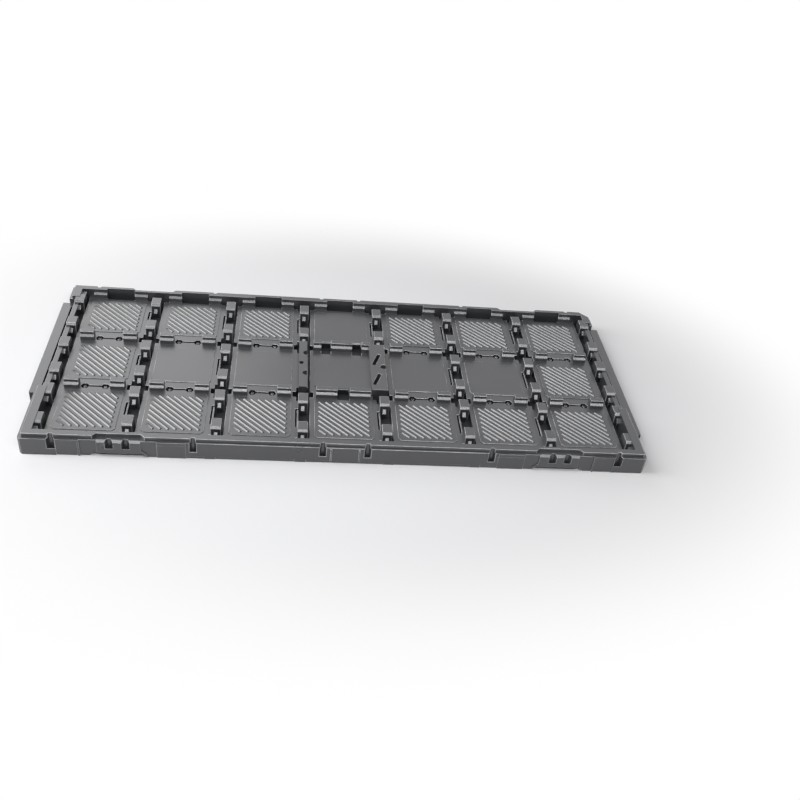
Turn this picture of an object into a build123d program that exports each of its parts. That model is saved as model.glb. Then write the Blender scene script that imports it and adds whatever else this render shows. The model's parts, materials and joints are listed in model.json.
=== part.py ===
"""Stackable matrix tray for square chip packages, moulded in one piece.

X runs along the tray, Y to its back, Z up from the bottom of the skirt. Sizes in millimetres.
"""
import os
from math import sqrt

from build123d import *

os.makedirs("parts", exist_ok=True)

# Outline and stacking
body_length = 315.0
body_width = 135.9
stack_pitch = 10.16
lip_height = 2.03
lip_inset = 1.5
nest_clearance = 0.25
corner_cut = 1.2
corner_least = 0.2
pin_corner_cut = 6.0

# Pocket matrix
columns = 7
rows = 3
pitch_x = 43.2
pitch_y = 43.0
package_size = 37.5
package_clearance = 0.5
front_row_shift = 1.8
floor_top = 7.0
floor_thickness = 1.5
floor_margin = 1.0
pit_web = 1.4
pit_wall = 1.2

# Raised plateau and slanting ribs in a pocket
plateau_size = 31.0
plateau_rise = 0.4
plateau_corner = 1.6
rib_square = 26.4
rib_count = 13
rib_width = 1.5
rib_rise = 0.7
rib_sink = 0.2

# Stops round a pocket
block_drop = 0.3
block_length = 7.4
block_spacing = 23.2
block_ledge = 9.2
block_lead = 1.0
block_sink = 0.6
post_length = 8.4
gusset_width = 2.0
gusset_run = 1.8
gusset_rise = 1.8

# Gaps between pockets
fin_thickness = 0.8
fin_slot = 0.9
fin_offset = 0.3
slit_width = 1.2
eye_size = 3.8
eye_spacing = 10.4
boss_size = 1.7
boss_drop = 0.4
crossing_length = 11.0
crossing_width = 4.4
recess_back = 3.7
recess_front = 2.0
front_pit = 3.0

# Centre pocket
centre_long_block = 12.2
centre_gap_back = 5.4
centre_short_block = 4.6
centre_gap_front = 6.6
centre_front_block = 11.4
centre_gap_length = 11.0
centre_wall_left = 4.5
centre_wall_right = 8.8
centre_wall_length = 42.0
centre_slot_width = 2.0
centre_slot_length = 10.4
centre_slot_turn = 20.0
centre_slots = ((19.1, 6.4), (18.7, -11.6))
centre_bite = 3.7
centre_bites = ((-20.0, 9.9), (-20.2, -8.5), (22.9, 0.0))
centre_hole = 2.4
centre_hole_point = (-22.8, 0.6)

# Ends
end_wall = 2.6
end_slot = 2.2
tab_reach = 3.8
tab_top = 7.0
tab_wall = 1.3
tab_back = 55.0
tab_front_left = -29.0
tab_front_right = -45.0
open_front = -29.0
slot_end_gap = 4.0

# Long walls
notch_mouth = 4.0
notch_base = 1.4
notch_bottom = 4.3
notch_depth = 2.5
notch_positions = (11.3, 75.0, 142.3)
panel_half = 78.5
panel_depth = 0.5
frame_half = 7.1
frame_bar = 0.9
frame_margin = 0.6
foot_length = 5.6
foot_height = 1.5
foot_depth = 0.2
foot_positions = (22.3, 67.0)
pad_inner = 92.5
grip_inner = 100.0
grip_outer = 121.0
pad_outer = 129.0
pad_depth = 0.6
side_panel_depth = 0.35
side_panel_top = 8.0
end_panel_inner = 130.0
end_panel_outer = 140.0
end_panel_top = 9.1
grip_lead = 1.0
grip_toe_run = 3.0
grip_toe_top = 4.5
groove_positions = (107.1, 115.0)
groove_mouth = 4.0
groove_base = 1.4
groove_bottom = 5.2
groove_depth = 2.0
lip_setback = 1.9
arch_half = 12.0
arch_rise = 2.2
arch_slope = 1.8

# Derived sizes
half_x = body_length / 2
half_y = body_width / 2
total_height = stack_pitch + lip_height
block_top = total_height - block_drop
opening = package_size + package_clearance
divider_x = pitch_x - opening
divider_y = pitch_y - opening
floor_bottom = floor_top - floor_thickness
nest_height = lip_height + nest_clearance
skirt_foot = lip_inset - nest_clearance
pit_floor = nest_height + pit_web
plateau_top = floor_top + plateau_rise
rib_diagonal = rib_square * sqrt(2)
rib_spacing = rib_diagonal / (rib_count + 1)
column_x = [(c - (columns - 1) / 2) * pitch_x for c in range(columns)]
row_y = [((rows - 1) / 2 - r) * pitch_y for r in range(rows)]
floor_y = row_y[:-1] + [row_y[-1] + front_row_shift]
wall_x = [x + pitch_x / 2 for x in column_x[:-1]]
wall_y = [y - pitch_y / 2 for y in row_y[:-1]]
middle = columns // 2
end_post_x = column_x[-1] + pitch_x / 2
end_inner = end_post_x + fin_offset
rim_inner = row_y[0] + opening / 2 + block_lead
floor_edge_x = opening / 2 - floor_margin
floor_edge_y = row_y[0] + opening / 2 - floor_margin
gap_half = pitch_x / 2 - floor_edge_x
block_gap = block_spacing - block_length
post_gap = block_spacing - post_length
channel_half = gap_half + fin_offset + pit_wall
cavity_x = column_x[-1] + floor_edge_x - pit_wall
cavity_y = floor_edge_y - pit_wall
centre_walls = (wall_x[middle - 1], wall_x[middle])
slot_inner = end_inner + end_wall
grip_middle = (grip_inner + grip_outer) / 2
grip_half = (grip_outer - grip_inner) / 2
wall_outer = (pitch_x + divider_x) / 2


def cut_corners(hx: float, hy: float, small: float, pin: float) -> list[tuple[float, float]]:
    """Rectangle with small corner cuts and one larger cut at the back right."""
    return [
        (-hx + small, -hy), (hx - small, -hy), (hx, -hy + small), (hx, hy - pin),
        (hx - pin, hy), (-hx + small, hy), (-hx, hy - small), (-hx, -hy + small),
    ]


def inset_outline(inset: float) -> list[tuple[float, float]]:
    """Tray outline moved inwards by an even distance."""
    shift = inset * (2 - sqrt(2))
    small = max(corner_cut - shift, corner_least)
    return cut_corners(half_x - inset, half_y - inset, small, pin_corner_cut - shift)


def wall_wedge(x: float, side: int, mouth: float, base: float, depth: float) -> list[tuple[float, float]]:
    """Plan of a groove with slanting sides in a long wall."""
    front = side * half_y
    back = side * (half_y - depth)
    return [(x - mouth / 2, front), (x + mouth / 2, front), (x + base / 2, back), (x - base / 2, back)]


def stop_profile() -> list[tuple[float, float]]:
    """Section of a row stop: a lead-in slope towards both pockets and an upright wall above them."""
    foot = divider_y / 2
    wall = foot - block_lead
    ledge = block_ledge + block_lead
    return [
        (-foot, floor_bottom), (foot, floor_bottom), (foot, block_ledge), (wall, ledge), (wall, block_top),
        (-wall, block_top), (-wall, ledge), (-foot, block_ledge),
    ]


# Slanting ribs of one pocket
with BuildPart() as rib_field:
    for k in range(rib_count):
        offset = (k - (rib_count - 1) / 2) * rib_spacing
        across = offset / sqrt(2)
        with BuildSketch(Plane((across, across, plateau_top), x_dir=(1, 1, 0), z_dir=(1, -1, 0))):
            with BuildLine():
                Polyline(
                    (-rib_width / 2, -rib_sink), (rib_width / 2, -rib_sink), (rib_width / 2, 0),
                    (0, rib_rise), (-rib_width / 2, 0), close=True,
                )
            make_face()
        extrude(amount=rib_diagonal / 2 - abs(offset), both=True)

# Row stop
with BuildPart() as row_block:
    with BuildSketch(Plane.YZ.offset(-block_length / 2)):
        Polygon(*stop_profile(), align=None)
    extrude(amount=block_length)

# Column stop: a post with sloped ends and a gusset at each of them
with BuildPart() as post:
    end = post_length / 2
    slope = block_top - block_lead
    with BuildSketch(Plane.YZ.offset(-divider_x / 2)):
        Polygon(
            (-end, pit_floor), (end, pit_floor), (end, slope), (end - block_lead, block_top),
            (block_lead - end, block_top), (-end, slope), align=None,
        )
    extrude(amount=divider_x)
    with BuildSketch(Plane.YZ.offset(-gusset_width / 2)):
        Polygon(
            (-end - gusset_run, pit_floor), (end + gusset_run, pit_floor), (end + gusset_run, floor_top),
            (end, floor_top + gusset_rise), (-end, floor_top + gusset_rise), (-end - gusset_run, floor_top),
            align=None,
        )
    extrude(amount=gusset_width)

# Stops of the centre pocket towards the back and the front
short_x = centre_long_block / 2 + centre_gap_back + centre_short_block / 2
front_x = (centre_gap_front + centre_front_block) / 2
with BuildPart() as centre_stops:
    for x, y, length in (
        (0, wall_y[0], centre_long_block), (-short_x, wall_y[0], centre_short_block),
        (short_x, wall_y[0], centre_short_block), (-front_x, wall_y[1], centre_front_block),
        (front_x, wall_y[1], centre_front_block),
    ):
        with BuildSketch(Plane((x - length / 2, y, 0), x_dir=(0, 1, 0), z_dir=(1, 0, 0))):
            Polygon(*stop_profile(), align=None)
        extrude(amount=length)

# Where things stand
pockets = [(x, y) for y in floor_y for x in column_x]
plain = [(x, floor_y[1]) for x in column_x[1:-1]] + [(column_x[middle], floor_y[0])]
ribbed = [p for p in pockets if p not in plain]
side_columns = [x for x in column_x if x != column_x[middle]]
row_middles = [(x, y) for y in wall_y for x in side_columns]
centre_middles = [(column_x[middle], y) for y in wall_y]
row_blocks = [(x + s * block_spacing / 2, y) for x, y in row_middles for s in (-1, 1)]
gap_middles = [(x, y) for y in floor_y for x in wall_x if y != floor_y[1] or x not in centre_walls]
crossings = [(x, y) for y in wall_y for x in wall_x]
posts = [(x, y + s * block_spacing / 2) for x, y in gap_middles for s in (-1, 1)]
end_posts = [(e * end_post_x, y + s * block_spacing / 2) for e in (-1, 1) for y in floor_y for s in (-1, 1)]
eyes = [(x + s * eye_spacing / 2, y) for x, y in row_middles for s in (-1, 1)]
post_reach = (block_spacing + post_length) / 2
post_back = floor_y[0] + post_reach
post_front = floor_y[-1] - post_reach

# Tray
with BuildPart() as tray:
    # Skirt up to the seat of the next tray, and the lip above it
    with BuildSketch():
        Polygon(*inset_outline(0.0), align=None)
    extrude(amount=stack_pitch)
    with BuildSketch(Plane.XY.offset(stack_pitch)):
        Polygon(*inset_outline(lip_inset), align=None)
    extrude(amount=lip_height)

    # Long walls, the same at the front and the back
    for side in (-1, 1):
        face = Plane((0, side * half_y, 0), x_dir=(-side, 0, 0), z_dir=(0, side, 0))
        with BuildSketch(face):
            with Locations((0, stack_pitch / 2)):
                Rectangle(2 * panel_half, stack_pitch)
            with Locations(*[(s * frame_half, stack_pitch / 2) for s in (-1, 1)]):
                Rectangle(frame_bar, stack_pitch - 2 * frame_margin, mode=Mode.SUBTRACT)
        extrude(amount=-panel_depth, mode=Mode.SUBTRACT)
        with BuildSketch(face):
            with Locations((0, foot_height / 2)):
                Rectangle(2 * panel_half, foot_height)
            with Locations(*[(s * x, foot_height / 2) for s in (-1, 1) for x in foot_positions]):
                Rectangle(foot_length, foot_height, mode=Mode.SUBTRACT)
        extrude(amount=-panel_depth - foot_depth, mode=Mode.SUBTRACT)
        with BuildSketch(face):
            for a, b, top in (
                (panel_half, pad_inner, side_panel_top), (end_panel_inner, end_panel_outer, end_panel_top),
            ):
                with Locations(*[(s * (a + b) / 2, top / 2) for s in (-1, 1)]):
                    Rectangle(b - a, top)
        extrude(amount=-side_panel_depth, mode=Mode.SUBTRACT)

        # Pads beside the grip, which keeps a slanting toe
        with BuildSketch(face):
            for a, b in ((pad_inner, grip_inner), (grip_outer, pad_outer)):
                with Locations(*[(s * (a + b) / 2, stack_pitch / 2) for s in (-1, 1)]):
                    Rectangle(b - a, stack_pitch)
            for s in (-1, 1):
                Polygon(
                    (s * grip_inner, 0), (s * grip_inner, grip_toe_top),
                    (s * (grip_inner - grip_toe_run), grip_toe_top - grip_toe_run),
                    (s * (grip_inner - grip_toe_run), 0), align=None, mode=Mode.SUBTRACT,
                )
        extrude(amount=-pad_depth, mode=Mode.SUBTRACT)

        # Grip: the lip set back behind it, two grooves, a sloped top edge and an arch below
        with BuildSketch(Plane.XY.offset(stack_pitch)):
            with Locations(*[(s * grip_middle, 0) for s in (-1, 1)]):
                lip_face = side * (half_y - lip_inset)
                setback = side * (half_y - lip_inset - lip_setback)
                Polygon(
                    (-grip_half - lip_setback, lip_face), (grip_half + lip_setback, lip_face),
                    (grip_half, setback), (-grip_half, setback), align=None,
                )
        extrude(amount=lip_height, mode=Mode.SUBTRACT)
        with BuildSketch(Plane.XY.offset(groove_bottom)):
            for x in [s * g for s in (-1, 1) for g in groove_positions]:
                Polygon(*wall_wedge(x, side, groove_mouth, groove_base, groove_depth), align=None)
        extrude(amount=stack_pitch - groove_bottom, mode=Mode.SUBTRACT)
        for start in (grip_inner, -grip_outer):
            with BuildSketch(Plane.YZ.offset(start)):
                Polygon(
                    (side * half_y, stack_pitch), (side * half_y, stack_pitch - grip_lead),
                    (side * (half_y - grip_lead), stack_pitch), align=None,
                )
            extrude(amount=2 * grip_half, mode=Mode.SUBTRACT)
        with BuildSketch(face):
            with Locations(*[(s * grip_middle, 0) for s in (-1, 1)]):
                Polygon(
                    (-arch_half - arch_slope, 0), (arch_half + arch_slope, 0),
                    (arch_half, arch_rise), (-arch_half, arch_rise), align=None,
                )
        extrude(amount=-skirt_foot, mode=Mode.SUBTRACT)

        # Index notches
        with BuildSketch(Plane.XY.offset(notch_bottom)):
            for x in [s * n for s in (-1, 1) for n in notch_positions]:
                Polygon(*wall_wedge(x, side, notch_mouth, notch_base, notch_depth), align=None)
        extrude(amount=total_height - notch_bottom, mode=Mode.SUBTRACT)

    # Open end walls: low outer strip, slot behind the wall, and the lifting tab
    for end, front in ((-1, tab_front_left), (1, tab_front_right)):
        with BuildSketch(Plane.XY.offset(stack_pitch)):
            with Locations((end * (half_x + end_inner) / 2, (tab_back + open_front) / 2)):
                Rectangle(half_x - end_inner, tab_back - open_front)
        extrude(amount=lip_height, mode=Mode.SUBTRACT)
        with BuildSketch(Plane.XY.offset(tab_top)):
            with Locations((end * (half_x + slot_inner) / 2, (tab_back + open_front) / 2)):
                Rectangle(half_x - slot_inner, tab_back - open_front)
        extrude(amount=stack_pitch - tab_top, mode=Mode.SUBTRACT)
        with BuildSketch():
            with Locations((end * (half_x + tab_reach / 2), (tab_back + front) / 2)):
                Rectangle(tab_reach, tab_back - front)
            with Locations((end * (half_x + (tab_reach - tab_wall) / 2), (tab_back + front) / 2)):
                Rectangle(tab_reach - tab_wall, tab_back - front - 2 * tab_wall, mode=Mode.SUBTRACT)
        extrude(amount=tab_top)
        with BuildSketch(Plane.XY.offset(tab_top - tab_wall)):
            with Locations((end * (half_x + tab_reach / 2), (tab_back + front) / 2)):
                Rectangle(tab_reach, tab_back - front)
        extrude(amount=tab_wall)
        with BuildSketch():
            with Locations((end * (slot_inner + end_slot / 2), (tab_back + open_front) / 2)):
                Rectangle(end_slot, tab_back - open_front - 2 * slot_end_gap)
        extrude(amount=tab_top, mode=Mode.SUBTRACT)

    # Open top down to the pocket floors
    with BuildSketch(Plane.XY.offset(floor_top)):
        Rectangle(2 * end_inner, 2 * rim_inner)
    extrude(amount=total_height - floor_top, mode=Mode.SUBTRACT)

    # Nest for the lip of the tray below, and hollow between the channels
    with BuildSketch():
        Polygon(*inset_outline(skirt_foot), align=None)
    extrude(amount=nest_height, mode=Mode.SUBTRACT)
    with BuildSketch(Plane.XY.offset(nest_height)):
        Rectangle(2 * cavity_x, 2 * cavity_y)
        with Locations(*[(x, 0) for x in wall_x]):
            Rectangle(2 * channel_half, 2 * cavity_y, mode=Mode.SUBTRACT)
        with Locations(*crossings):
            Rectangle(crossing_length + 2 * pit_wall, crossing_width + 2 * pit_wall, mode=Mode.SUBTRACT)
        with Locations(*row_middles):
            Rectangle(block_gap + 2 * pit_wall, eye_size + 2 * pit_wall, mode=Mode.SUBTRACT)
        with Locations(*centre_middles):
            Rectangle(pitch_x, centre_gap_length + 2 * pit_wall, mode=Mode.SUBTRACT)
    extrude(amount=floor_bottom - nest_height, mode=Mode.SUBTRACT)

    # Pits in the column gaps, each with a tongue beside its thin slot
    with BuildSketch(Plane.XY.offset(pit_floor)):
        slot_left = gap_half + fin_offset
        pit_left = slot_left - fin_slot - fin_thickness
        with Locations(*[(x + (gap_half - pit_left) / 2, y) for x, y in gap_middles]):
            Rectangle(gap_half + pit_left, post_gap)
        with Locations(*[(x - slot_left + fin_slot / 2, y) for x, y in gap_middles]):
            Rectangle(fin_slot, post_gap)
        hook_y = (post_gap - fin_slot) / 2
        with Locations(*[(x - (slot_left + pit_left) / 2, y + hook_y) for x, y in gap_middles]):
            Rectangle(slot_left - pit_left, fin_slot)
        with Locations(*[(x + (divider_x / 2 + gap_half) / 2, 0) for x in wall_x]):
            Rectangle(gap_half - divider_x / 2, 2 * rim_inner)

        # Pits at the crossings, at the rims and along the ends
        with Locations(*crossings):
            Rectangle(crossing_length, crossing_width)
            Rectangle(2 * gap_half, pitch_y - block_spacing - post_length)
        with Locations(*[(x, s * (floor_edge_y + rim_inner) / 2) for x in wall_x for s in (-1, 1)]):
            Rectangle(pitch_x - block_spacing - block_length, rim_inner - floor_edge_y)
        with Locations(*[(x, (post_back + rim_inner) / 2) for x in wall_x]):
            Rectangle(2 * gap_half, rim_inner - post_back)
        with Locations(*[(x, post_front - front_pit / 2) for x in wall_x]):
            Rectangle(2 * gap_half, front_pit)
        with Locations(*[(e * (end_inner + column_x[-1] + floor_edge_x) / 2, 0) for e in (-1, 1)]):
            Rectangle(end_inner - column_x[-1] - floor_edge_x, 2 * rim_inner)

        # Slit with two eyes between the row stops, and gaps between the stops of the centre pocket
        with Locations(*row_middles):
            Rectangle(eye_spacing, slit_width)
        with Locations(*eyes):
            RegularPolygon(eye_size / 2, 6, major_radius=False)
        back_gap_x = (centre_long_block + centre_gap_back) / 2
        with Locations(*[(s * back_gap_x, wall_y[0]) for s in (-1, 1)]):
            Rectangle(centre_gap_back, centre_gap_length)
        with Locations((0, wall_y[1])):
            Rectangle(centre_gap_front, centre_gap_length)
    extrude(amount=floor_top - pit_floor, mode=Mode.SUBTRACT)

    # Bosses in the eyes
    with BuildSketch(Plane.XY.offset(pit_floor)):
        with Locations(*eyes):
            RegularPolygon(boss_size / 2, 6, major_radius=False)
    extrude(amount=floor_top - boss_drop - pit_floor)

    # Recesses in the long rims between the stops, deeper at the back
    for side, reach in ((-1, recess_front), (1, recess_back)):
        with BuildSketch(Plane.XY.offset(pit_floor)):
            with Locations(*[(x, side * (floor_edge_y + reach / 2)) for x in column_x]):
                Rectangle(block_gap, reach)
        extrude(amount=total_height - pit_floor, mode=Mode.SUBTRACT)

    # Plateaus
    with BuildSketch(Plane.XY.offset(floor_top)):
        with Locations(*pockets):
            flat = plateau_size / 2
            cut = plateau_size / 2 - plateau_corner
            Polygon(
                (-cut, -flat), (cut, -flat), (flat, -cut), (flat, cut), (cut, flat), (-cut, flat),
                (-flat, cut), (-flat, -cut), align=None,
            )
    extrude(amount=plateau_rise)

    # Stops on the long rims
    for side in (-1, 1):
        with BuildSketch(Plane.YZ.offset(-half_x)) as rim_stop:
            foot = side * (rim_inner - block_lead)
            wall = side * (rim_inner + block_sink)
            ledge = block_ledge + block_lead
            Polygon(
                (wall, floor_bottom), (foot, floor_bottom), (foot, block_ledge), (side * rim_inner, ledge),
                (wall, ledge), align=None,
            )
        stop = extrude(rim_stop.sketch, amount=block_length, mode=Mode.PRIVATE)
        shift = half_x - block_length / 2
        with Locations(*[(x + s * block_spacing / 2 + shift, 0) for x in column_x for s in (-1, 1)]):
            add(stop)

    # Longer stops and the pierced side walls of the centre pocket
    add(centre_stops.part)
    with BuildSketch(Plane.XY.offset(pit_floor)):
        with Locations((centre_wall_left / 2 - wall_outer, row_y[1])):
            Rectangle(centre_wall_left, centre_wall_length)
        with Locations((wall_outer - centre_wall_right / 2, row_y[1])):
            Rectangle(centre_wall_right, centre_wall_length)
    extrude(amount=block_top - pit_floor)
    with BuildSketch(Plane.XY.offset(floor_top)):
        for point in centre_slots:
            with Locations(Location(point, -centre_slot_turn)):
                Rectangle(centre_slot_width, centre_slot_length)
        with Locations(*centre_bites):
            RegularPolygon(centre_bite / 2, 8, major_radius=False)
        with Locations(centre_hole_point):
            RegularPolygon(centre_hole / 2, 8, major_radius=False)
    extrude(amount=block_top - floor_top, mode=Mode.SUBTRACT)

    # Stops between rows and columns
    with Locations(*row_blocks):
        add(row_block.part)
    with Locations(*posts, *end_posts):
        add(post.part)

    # Ribs of the ribbed pockets
    with Locations(*ribbed):
        add(rib_field.part)

# Label and export
tray.part.label = "matrix_tray"
export_step(tray.part, "parts/matrix_tray.step")
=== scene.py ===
"""Looks of a stackable matrix tray for chip packages: one dark conductive moulding on a pale floor.

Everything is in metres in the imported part's own frame: X along the tray, Y to its back, Z up.
"""

import json
import logging
import math
from dataclasses import dataclass
from enum import Enum
from typing import Any

import bmesh
import bpy
import numpy as np
from mathutils import Matrix, Vector
from mathutils.bvhtree import BVHTree

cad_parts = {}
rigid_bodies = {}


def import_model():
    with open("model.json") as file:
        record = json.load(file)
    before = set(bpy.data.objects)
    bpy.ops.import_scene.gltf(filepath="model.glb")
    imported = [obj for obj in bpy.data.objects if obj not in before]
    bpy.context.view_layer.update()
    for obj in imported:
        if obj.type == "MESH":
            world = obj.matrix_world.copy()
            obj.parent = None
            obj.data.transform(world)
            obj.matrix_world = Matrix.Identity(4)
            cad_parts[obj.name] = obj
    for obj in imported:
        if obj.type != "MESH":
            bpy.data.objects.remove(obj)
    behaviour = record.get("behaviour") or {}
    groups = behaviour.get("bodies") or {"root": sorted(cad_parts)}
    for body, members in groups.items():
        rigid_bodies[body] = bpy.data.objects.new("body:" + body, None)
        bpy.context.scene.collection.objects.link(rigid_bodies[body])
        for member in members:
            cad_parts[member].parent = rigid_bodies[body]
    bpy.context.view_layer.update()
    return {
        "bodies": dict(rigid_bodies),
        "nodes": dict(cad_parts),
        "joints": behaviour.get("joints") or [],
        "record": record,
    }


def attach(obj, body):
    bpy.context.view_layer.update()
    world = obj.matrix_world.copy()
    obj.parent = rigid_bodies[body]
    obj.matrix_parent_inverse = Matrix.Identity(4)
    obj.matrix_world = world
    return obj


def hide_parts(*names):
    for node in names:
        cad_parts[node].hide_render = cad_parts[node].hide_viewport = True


LOG = logging.getLogger("matrix_tray")
MM = 0.001
WHITE = (1.0, 1.0, 1.0, 1.0)


class Skin(Enum):
    """Which material a face of the tray has, by its place in the list of materials: the plain moulding, a
    pale painted highlight on rounded outer edges, or a near-black painted shade in the deep pits.
    """

    MOULDED = 0
    # Pale paint on rounded outer edges: a painted highlight.
    PAINTED_HIGHLIGHT = 1
    # Near-black matt paint on faces deep in the pits: a painted shade.
    PAINTED_SHADE = 2


def srgb(code: str) -> tuple[float, float, float, float]:
    """Turn an sRGB hex colour into linear RGBA.

    Args:
        code: six hex digits, with or without a leading hash.

    Returns:
        Linear red, green, blue and an alpha of one.
    """
    raw = np.array([int(code.lstrip("#")[i:i + 2], 16) for i in (0, 2, 4)], float) / 255.0
    linear = np.where(raw <= 0.04045, raw / 12.92, ((raw + 0.055) / 1.055) ** 2.4)
    return (float(linear[0]), float(linear[1]), float(linear[2]), 1.0)


def add_node(
    tree: bpy.types.NodeTree, kind: str, inputs: dict[Any, Any] | None = None, **settings: Any,
) -> bpy.types.Node:
    """Add one shader node, set its options and fill or link its inputs.

    Args:
        tree: the material's node tree.
        kind: the node's Blender class name.
        inputs: input name or number to a plain value, or to another node's output socket.
        settings: the node's own options.

    Returns:
        The new node.
    """
    node = tree.nodes.new(kind)
    for name, value in settings.items():
        setattr(node, name, value)
    for key, value in (inputs or {}).items():
        if isinstance(value, bpy.types.NodeSocket):
            tree.links.new(value, node.inputs[key])
        else:
            node.inputs[key].default_value = value
    return node


def seen_or_mirrored(tree: bpy.types.NodeTree) -> bpy.types.NodeSocket:
    """Tell the rays that show a surface as background from the rays that light the object.

    Args:
        tree: the node tree of a floor or a world.

    Returns:
        A socket that is one for rays from the camera, a mirror or through glass, and nought for others.
    """
    path = add_node(tree, "ShaderNodeLightPath")
    mirrored = add_node(
        tree, "ShaderNodeMath",
        {0: path.outputs["Is Glossy Ray"], 1: path.outputs["Is Transmission Ray"]}, operation="MAXIMUM",
    ).outputs["Value"]
    return add_node(
        tree, "ShaderNodeMath", {0: path.outputs["Is Camera Ray"], 1: mirrored}, operation="MAXIMUM",
    ).outputs["Value"]


@dataclass(frozen=True)
class ConductiveMoulding:
    """Carbon-filled polyphenylene ether, injection moulded in a tool finished by spark erosion.

    The filler makes it near black, and the tool gives it a satin skin with a fine grain. Light that
    meets it at a low angle is mirrored softly, so flat floors look grey and the pits between them dark; a
    near-black painted shade makes the deep pits black.
    """

    name: str = "carbon_filled_ppe_moulded"
    dark: str = "#38393c"
    pale: str = "#3f4043"
    ior: float = 1.7
    mirror: float = 0.62
    smooth: float = 0.27
    rough: float = 0.32
    grain_mm: float = 0.45
    grain_height_mm: float = 0.012
    grain_strength: float = 0.35
    flow_mm: float = 38.0
    flow_low: float = 0.3
    flow_high: float = 0.7

    def build(self) -> bpy.types.Material:
        """Make the material.

        Returns:
            The new material, driven by Object coordinates alone.
        """
        material = bpy.data.materials.new(self.name)
        material.use_nodes = True
        tree = material.node_tree
        tree.nodes.clear()
        place = add_node(tree, "ShaderNodeTexCoord").outputs["Object"]
        flow = add_node(
            tree, "ShaderNodeTexNoise",
            {"Vector": place, "Scale": 1.0 / (self.flow_mm * MM), "Detail": 3.0, "Roughness": 0.55},
        ).outputs["Fac"]
        # The tool's grain is about 0.1 mm; it is drawn at half a millimetre so that it shows in the render.
        grain = add_node(
            tree, "ShaderNodeTexNoise",
            {"Vector": place, "Scale": 1.0 / (self.grain_mm * MM), "Detail": 2.0, "Roughness": 0.6},
        ).outputs["Fac"]
        colour = add_node(tree, "ShaderNodeValToRGB", {0: flow})
        first, last = colour.color_ramp.elements
        first.position, first.color = self.flow_low, srgb(self.dark)
        last.position, last.color = self.flow_high, srgb(self.pale)
        skin = add_node(
            tree, "ShaderNodeMapRange",
            {
                "Value": flow, "From Min": self.flow_low, "From Max": self.flow_high,
                "To Min": self.smooth, "To Max": self.rough,
            },
        ).outputs["Result"]
        bump = add_node(
            tree, "ShaderNodeBump",
            {"Height": grain, "Strength": self.grain_strength, "Distance": self.grain_height_mm * MM},
        ).outputs["Normal"]
        shader = add_node(
            tree, "ShaderNodeBsdfPrincipled",
            {
                "Base Color": colour.outputs["Color"], "Roughness": skin, "IOR": self.ior,
                "Specular IOR Level": self.mirror, "Metallic": 0.0, "Normal": bump,
            },
        )
        add_node(tree, "ShaderNodeOutputMaterial", {"Surface": shader.outputs["BSDF"]})
        return material


@dataclass(frozen=True)
class PaintedFloor:
    """Matt white emulsion on a studio sweep: pale, with no gloss.

    Close to the tray it is plain paint and holds the shadow. Farther off the camera and mirrors see it
    fade into the white of the world.
    """

    name: str = "matt_white_emulsion_floor"
    colour: str = "#eeeeef"
    roughness: float = 0.9
    mirror: float = 0.1
    fade_from: float = 0.17
    fade_to: float = 0.31
    fade_depth: float = 1.5

    def build(self) -> bpy.types.Material:
        """Make the floor's material.

        Returns:
            The new material.
        """
        material = bpy.data.materials.new(self.name)
        material.use_nodes = True
        tree = material.node_tree
        tree.nodes.clear()
        shader = add_node(
            tree, "ShaderNodeBsdfPrincipled",
            {"Base Color": srgb(self.colour), "Roughness": self.roughness, "Specular IOR Level": self.mirror},
        )
        place = add_node(tree, "ShaderNodeTexCoord").outputs["Object"]
        oval = add_node(
            tree, "ShaderNodeVectorMath", {0: place, 1: (1.0, self.fade_depth, 1.0)}, operation="MULTIPLY",
        ).outputs["Vector"]
        reach = add_node(tree, "ShaderNodeVectorMath", {0: oval}, operation="LENGTH").outputs["Value"]
        fade = add_node(
            tree, "ShaderNodeMapRange",
            {"Value": reach, "From Min": self.fade_from, "From Max": self.fade_to},
            interpolation_type="SMOOTHSTEP",
        ).outputs["Result"]
        share = add_node(
            tree, "ShaderNodeMath", {0: fade, 1: seen_or_mirrored(tree)}, operation="MULTIPLY",
        ).outputs["Value"]
        white = add_node(tree, "ShaderNodeEmission", {"Color": WHITE, "Strength": 1.0})
        mix = add_node(
            tree, "ShaderNodeMixShader", {0: share, 1: shader.outputs["BSDF"], 2: white.outputs["Emission"]},
        )
        add_node(tree, "ShaderNodeOutputMaterial", {"Surface": mix.outputs["Shader"]})
        return material


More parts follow.
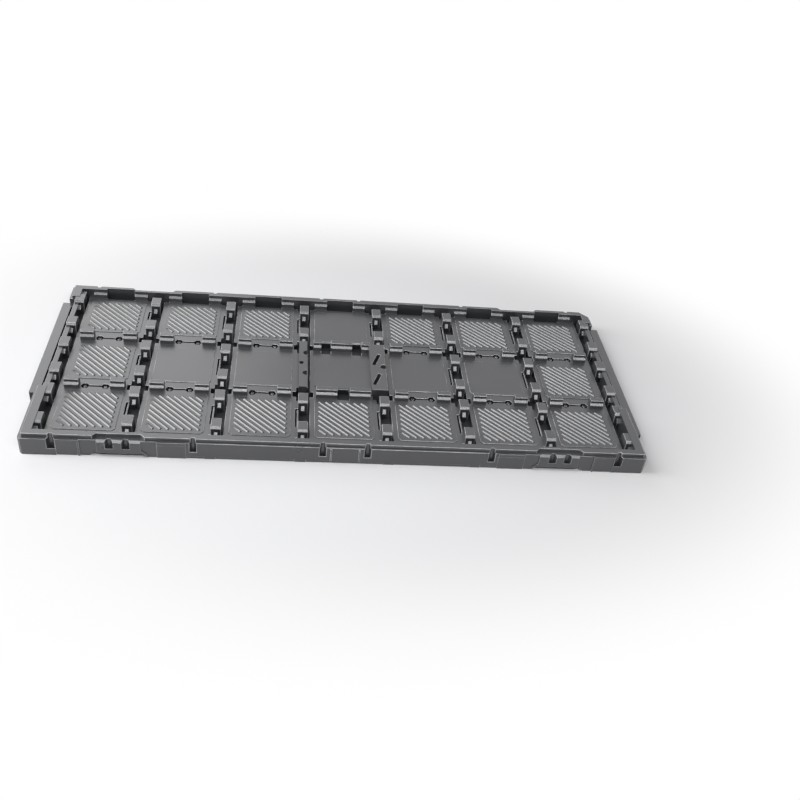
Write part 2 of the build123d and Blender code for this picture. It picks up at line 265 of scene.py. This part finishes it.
@dataclass
class TrayMoulding:
    """The tray's skin: a copy of the solid with every moulded edge eased.

    A mould leaves no perfectly sharp edge, so outer edges are rounded by a fifth of a millimetre, and these
    rounded faces are painted pale as a painted highlight, which makes the thin pale lines along the stops,
    rims and panels. The ribs, deep in the pockets, are rounded too and their feet are filled, but they keep
    the colour of the rest and get no painted highlight. Faces deep in the pits between the pockets are
    painted near black and rough as a painted shade, so they look black beside the satin floors.
    """

    node: str = "matrix_tray"
    name: str = "tray_moulding"
    slot: str = "conductive_plastic"
    # Merging the solid's loose triangles
    weld_mm: float = 0.002
    seam_angle_deg: float = 0.5
    # Rounding of outer edges, and filling of the corners at the ribs' feet
    edge_mm: float = 0.22
    foot_mm: float = 0.14
    edge_segments: int = 3
    edge_angle_deg: float = 30.0
    room_share: float = 0.75
    # Search for faces that the rounding folds or turns
    ease_rounds: int = 8
    ease_cut: float = 0.5
    fold_mm2: float = 0.02
    turned_mm2: float = 0.001
    turned_cosine: float = -0.3
    # Where the rounding, the painted highlight and the painted shade lie: the ribs' feet and tops, the long
    # walls' inside, and the pits' reach and rim
    leaning_cosine: float = 0.99
    ribs_mm: tuple[float, float] = (7.401, 8.4)
    foot_slack_mm: float = 0.01
    wall_mm: float = 66.5
    pit_mm: tuple[float, float, float] = (160.0, 66.4, 6.9)
    pit_edge_mm: float = 6.5
    overhang_cosine: float = -0.2
    lift_mm: float = 0.02
    # Shortest edge that has a direction
    least_mm: float = 1e-6

    def build(self, frame: dict[str, Any]) -> bpy.types.Object:
        """Copy the solid's mesh, weld it, clear flat seams and ease its edges.


        Returns:
            The finished piece, at the origin.
        """
        mesh = frame["nodes"][self.node].data.copy()
        mesh.name = self.name
        mesh.materials.clear()
        work = bmesh.new()
        work.from_mesh(mesh)
        bmesh.ops.remove_doubles(work, verts=work.verts[:], dist=self.weld_mm * MM)
        bmesh.ops.dissolve_limit(
            work, angle_limit=math.radians(self.seam_angle_deg), verts=work.verts[:], edges=work.edges[:],
            use_dissolve_boundaries=False,
        )
        work.to_mesh(mesh)
        work.free()
        mesh.polygons.foreach_set("use_smooth", np.zeros(len(mesh.polygons), bool))
        piece = bpy.data.objects.new(self.name, mesh)
        bpy.context.scene.collection.objects.link(piece)
        self.ease(piece)
        return piece

    def ease(self, piece: bpy.types.Object) -> None:
        """Round the edges, and halve the rounding round any face that it would fold over itself.

        Args:
            piece: the object with the welded mesh.
        """
        mesh = piece.data
        ids = mesh.attributes.new("source_face", "INT", "FACE")
        ids.data.foreach_set("value", np.arange(len(mesh.polygons), dtype=np.int32))
        weights = mesh.attributes.new("bevel_weight_edge", "FLOAT", "EDGE")
        rounding = piece.modifiers.new("eased_edges", "BEVEL")
        rounding.width = self.edge_mm * MM
        rounding.segments = self.edge_segments
        rounding.limit_method = "WEIGHT"
        rounding.use_clamp_overlap = False
        edge_of, face_of = self.corner_table(mesh)
        shares = self.easing(mesh, edge_of, face_of)
        for _ in range(self.ease_rounds):
            weights.data.foreach_set("value", shares.astype(np.float32))
            mesh.update()
            folded = self.folded_faces(piece)
            if not folded.size:
                break
            shares[np.unique(edge_of[np.isin(face_of, folded)])] *= self.ease_cut
        self.settle(piece)

    def settle(self, piece: bpy.types.Object) -> None:
        """Fix the rounding in the mesh, and mark the faces for the painted highlight and those of the pits
        for the painted shade.

        A rounded face leans away from the face it came from. It gets the pale painted highlight anywhere but
        down in the pits and, inside the long walls, at the ribs' height.

        Args:
            piece: the object with its rounding on.
        """
        eased = piece.evaluated_get(bpy.context.evaluated_depsgraph_get())
        done = bpy.data.meshes.new_from_object(eased)
        source = self.read(done.attributes["source_face"].data, "value", np.int32)
        normal = self.read(done.polygons, "normal", np.float32, 3)
        old = self.read(piece.data.polygons, "normal", np.float32, 3)[source]
        centre = self.read(done.polygons, "center", np.float32, 3) / MM
        rounded = (normal * old).sum(axis=1) < self.leaning_cosine
        pits = self.open_pits(done, centre, normal)
        highlit_edges = rounded & ~self.at_ribs(centre) & ~(pits & (centre[:, 2] < self.pit_edge_mm))
        skin = np.full(len(centre), Skin.MOULDED.value, np.int32)
        # Faces in the pits are painted near black as a painted shade; rounded outer edges are painted pale as
        # a painted highlight.
        skin[pits] = Skin.PAINTED_SHADE.value
        skin[highlit_edges] = Skin.PAINTED_HIGHLIGHT.value
        done.polygons.foreach_set("material_index", skin)
        done.attributes.remove(done.attributes["source_face"])
        done.name = self.name
        piece.modifiers.clear()
        piece.data = done

    def open_pits(self, mesh: bpy.types.Mesh, centre: np.ndarray, normal: np.ndarray) -> np.ndarray:
        """Tell which faces lie below the pocket floors, inside the walls and open to the sky.

        A face is open to the sky where a line straight up from just off any of its triangles' middles
        meets nothing.

        Args:
            mesh: the rounded mesh.
            centre: the middle of every face, in millimetres.
            normal: the normal of every face.

        Returns:
            One truth value for each face.
        """
        low = np.all(np.abs(centre) < np.array(self.pit_mm), axis=1) & (normal[:, 2] > self.overhang_cosine)
        mesh.calc_loop_triangles()
        owner = self.read(mesh.loop_triangles, "polygon_index", np.int32)
        points = self.read(mesh.loop_triangles, "vertices", np.int32, 3)
        spot = self.read(mesh.vertices, "co", np.float32, 3)
        tried = np.flatnonzero(low[owner])
        starts = spot[points[tried]].mean(axis=1) + self.lift_mm * MM * normal[owner[tried]]
        work = bmesh.new()
        work.from_mesh(mesh)
        tree = BVHTree.FromBMesh(work)
        work.free()
        up = Vector((0.0, 0.0, 1.0))
        sky = np.array([tree.ray_cast(start, up)[0] is None for start in starts.tolist()], bool)
        pits = np.zeros(len(centre), bool)
        pits[owner[tried[sky]]] = True
        return pits

    def at_ribs(self, spots: np.ndarray, slack: float = 0.0) -> np.ndarray:
        """Tell which points are at the ribs' height inside the long walls.

        Args:
            spots: points in millimetres, one to a row.
            slack: how far below the ribs' feet still counts, in millimetres.

        Returns:
            One truth value for each point.
        """
        low, high = self.ribs_mm
        return (spots[:, 2] > low - slack) & (spots[:, 2] < high) & (np.abs(spots[:, 1]) < self.wall_mm)

    @staticmethod
    def read(items: bpy.types.bpy_prop_collection, name: str, kind: type, width: int = 1) -> np.ndarray:
        """Read one property of every item of a mesh into an array.

        Args:
            items: the mesh's faces, corners, points or the like.
            name: the property's name.
            kind: the array's number type.
            width: how many numbers each item has.

        Returns:
            One number, or one row of width numbers, for each item.
        """
        values = np.empty(len(items) * width, kind)
        items.foreach_get(name, values)
        return values.reshape(-1, width) if width > 1 else values

    def corner_table(self, mesh: bpy.types.Mesh) -> tuple[np.ndarray, np.ndarray]:
        """Give the edge and the face of every face corner.

        Args:
            mesh: the mesh to read.

        Returns:
            Edge numbers and face numbers, one of each per corner.
        """
        count = self.read(mesh.polygons, "loop_total", np.int32)
        return self.read(mesh.loops, "edge_index", np.int32), np.repeat(np.arange(len(count)), count)

    def easing(self, mesh: bpy.types.Mesh, edge_of: np.ndarray, face_of: np.ndarray) -> np.ndarray:
        """Work out how much each edge may be eased, as a share of the widest easing.

        An edge between faces a and b is sharp where the angle between their normals passes the limit. It
        is an outer edge where the way into b falls behind a's plane. Inner corners stay as they are, but
        for those at the ribs' feet. The easing is the smaller of the full width and a share of the
        shortest edge that the edge meets, so that roundings stay apart.

        Args:
            mesh: the welded mesh, with flat seams cleared.
            edge_of: the edge of every face corner.
            face_of: the face of every face corner.

        Returns:
            One number from nought to one for each edge.
        """
        edges = len(mesh.edges)
        point_of = self.read(mesh.loops, "vertex_index", np.int32)
        first = self.read(mesh.polygons, "loop_start", np.int32)[face_of]
        count = self.read(mesh.polygons, "loop_total", np.int32)[face_of]
        normal = self.read(mesh.polygons, "normal", np.float32, 3)[face_of]
        spot = self.read(mesh.vertices, "co", np.float32, 3)
        step = np.arange(len(edge_of)) - first
        after, before = first + (step + 1) % count, first + (step - 1) % count
        along = spot[point_of[after]] - spot[point_of]
        length = np.linalg.norm(along, axis=1)
        into = np.cross(normal, along / np.maximum(length, self.least_mm * MM)[:, None])
        room = np.full(edges, np.inf)
        np.minimum.at(room, edge_of, np.minimum(length[before], length[after]))
        order = np.argsort(edge_of, kind="stable")
        shared = np.bincount(edge_of, minlength=edges)
        paired = np.flatnonzero(shared == 2)
        begin = (np.cumsum(shared) - shared)[paired]
        a, b = order[begin], order[begin + 1]
        sharp = (normal[a] * normal[b]).sum(axis=1) < math.cos(math.radians(self.edge_angle_deg))
        outer = (normal[a] * into[b]).sum(axis=1) < 0.0
        middle = (spot[point_of[a]] + spot[point_of[after[a]]]) / (2.0 * MM)
        feet = self.at_ribs(middle, self.foot_slack_mm)
        width = np.minimum(np.where(outer, self.edge_mm, self.foot_mm) * MM, self.room_share * room[paired])
        shares = np.zeros(edges)
        shares[paired] = np.where(sharp & (outer | feet), width / (self.edge_mm * MM), 0.0)
        return shares

    def folded_faces(self, piece: bpy.types.Object) -> np.ndarray:
        """Find the faces that the rounding folds over themselves or turns round.

        The triangles of a folded face add up to more than its area, and a turned face's normal points
        against that of the face it came from.

        Args:
            piece: the object with its rounding on.

        Returns:
            The numbers of those faces in the mesh before the rounding.
        """
        result = piece.evaluated_get(bpy.context.evaluated_depsgraph_get()).to_mesh()
        result.calc_loop_triangles()
        source = self.read(result.attributes["source_face"].data, "value", np.int32)
        area = self.read(result.polygons, "area", np.float32)
        owner = self.read(result.loop_triangles, "polygon_index", np.int32)
        total = np.bincount(owner, self.read(result.loop_triangles, "area", np.float32), minlength=len(area))
        normal = self.read(result.polygons, "normal", np.float32, 3)
        old = self.read(piece.data.polygons, "normal", np.float32, 3)[source]
        turned = ((normal * old).sum(axis=1) < self.turned_cosine) & (area > self.turned_mm2 * MM ** 2)
        return np.unique(source[(np.abs(total - area) > self.fold_mm2 * MM ** 2) | turned])

    def dress(self, piece: bpy.types.Object, finishes: tuple[ConductiveMoulding, ...]) -> None:
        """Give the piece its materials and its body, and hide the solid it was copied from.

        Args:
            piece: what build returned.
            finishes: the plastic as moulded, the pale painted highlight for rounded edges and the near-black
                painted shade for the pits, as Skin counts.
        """
        for finish in finishes:
            piece.data.materials.append(finish.build())
        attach(piece, "root")
        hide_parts(self.node)


@dataclass(frozen=True)
class Softbox:
    """One soft white studio lamp, aimed at a point on the tray."""

    name: str
    place: tuple[float, float, float]
    aim: tuple[float, float, float]
    size: tuple[float, float]
    watts: float
    rise: tuple[float, float, float] = (0.0, 0.0, 1.0)

    def build(self) -> bpy.types.Object:
        """Make the lamp.

        Returns:
            The lamp's object.
        """
        lamp = bpy.data.lights.new(self.name, "AREA")
        lamp.shape = "RECTANGLE"
        lamp.size, lamp.size_y = self.size
        lamp.energy = self.watts
        holder = bpy.data.objects.new(self.name, lamp)
        bpy.context.scene.collection.objects.link(holder)
        back = (Vector(self.place) - Vector(self.aim)).normalized()
        across = Vector(self.rise).cross(back).normalized()
        turn = Matrix((across, back.cross(across), back)).transposed().to_4x4()
        holder.matrix_world = Matrix.Translation(self.place) @ turn
        return holder


@dataclass
class Studio:
    """Pale floor, soft lamps, plain world and the camera."""

    floor_half: float = 3.0
    world_colour: str = "#f4f6fa"
    world_level: float = 0.12
    lens_mm: float = 41.05
    sensor_mm: float = 36.0
    near_clip: float = 0.01
    eye: tuple[float, float, float] = (-0.0318, -0.4067, 0.3146)
    right: tuple[float, float, float] = (0.9911, -0.0732, 0.1108)
    up: tuple[float, float, float] = (-0.0403, 0.6290, 0.7764)

    def lay_floor(self) -> bpy.types.Object:
        """Lay a flat floor under the skirt.

        Returns:
            The floor's object.
        """
        corners = np.array([(-1, -1, 0), (1, -1, 0), (1, 1, 0), (-1, 1, 0)], float) * self.floor_half
        mesh = bpy.data.meshes.new("floor")
        mesh.from_pydata(corners.tolist(), [], [(0, 1, 2, 3)])
        mesh.materials.append(PaintedFloor().build())
        floor = bpy.data.objects.new("floor", mesh)
        bpy.context.scene.collection.objects.link(floor)
        return floor

    def hang_lamps(self) -> list[bpy.types.Object]:
        """Hang a strip in front, a slanting box on the left and a broad box behind.

        Returns:
            The lamps' objects.
        """
        lamps = (
            Softbox("front_strip", (0.07, -0.70, 0.88), (0.02, 0.0, 0.0), (1.2, 0.13), 6.0),
            Softbox(
                "left_box", (-0.70, -0.045, 0.61), (0.0, 0.0, 0.0), (0.30, 0.95), 6.6,
                rise=(0.21, -0.226, 0.59),
            ),
            Softbox("back_left_box", (-0.60, 1.20, 0.92), (-0.05, 0.0, 0.0), (1.0, 0.9), 4.2),
        )
        return [lamp.build() for lamp in lamps]

    def light_world(self) -> None:
        """Fill the world with an even pale light that the camera sees as white."""
        world = bpy.data.worlds.new("studio_world")
        world.use_nodes = True
        tree = world.node_tree
        tree.nodes.clear()
        lit = add_node(
            tree, "ShaderNodeBackground", {"Color": srgb(self.world_colour), "Strength": self.world_level},
        )
        seen = add_node(tree, "ShaderNodeBackground", {"Color": WHITE, "Strength": 1.0})
        mix = add_node(
            tree, "ShaderNodeMixShader",
            {0: seen_or_mirrored(tree), 1: lit.outputs["Background"], 2: seen.outputs["Background"]},
        )
        add_node(tree, "ShaderNodeOutputWorld", {"Surface": mix.outputs["Shader"]})
        bpy.context.scene.world = world

    def place_camera(self) -> bpy.types.Object:
        """Stand the camera where the photograph was taken from.

        Returns:
            The camera's object.
        """
        data = bpy.data.cameras.new("photo_camera")
        data.lens = self.lens_mm
        data.sensor_width = self.sensor_mm
        data.clip_start = self.near_clip
        camera = bpy.data.objects.new("photo_camera", data)
        bpy.context.scene.collection.objects.link(camera)
        right, up = Vector(self.right).normalized(), Vector(self.up).normalized()
        back = right.cross(up)
        turn = Matrix((right, up, back)).transposed().to_4x4()
        camera.matrix_world = Matrix.Translation(self.eye) @ turn
        bpy.context.scene.camera = camera
        return camera


def main() -> None:
    """Load the frame, build and dress the tray, and set up the studio."""
    logging.basicConfig(level=logging.INFO, format="%(name)s: %(message)s")
    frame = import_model()
    moulding = TrayMoulding()
    piece = moulding.build(frame)
    # Painted highlight: the rounded outer edges are painted pale and a little smoother, in patches of a few
    # millimetres.
    rubbed = ConductiveMoulding(
        name="carbon_filled_ppe_rubbed", dark="#7a7b7f", pale="#b8b9bc", smooth=0.24, rough=0.30, flow_mm=7.0,
    )
    # Painted shade: faces deep in the pits are painted near black and matt.
    painted_shade = ConductiveMoulding(
        name="carbon_filled_ppe_painted_shade", dark="#161719", pale="#1e1f22", mirror=0.3, smooth=0.5, rough=0.6,
        flow_mm=5.0,
    )
    moulding.dress(piece, (ConductiveMoulding(), rubbed, painted_shade))
    LOG.info("%s: %d faces", piece.name, len(piece.data.polygons))
    studio = Studio()
    LOG.info("stage: %s", studio.lay_floor().name)
    LOG.info("lamps: %d", len(studio.hang_lamps()))
    studio.light_world()
    LOG.info("camera: %s", studio.place_camera().name)
    bpy.context.scene.view_settings.view_transform = "Standard"


if __name__ == "__main__":
    main()
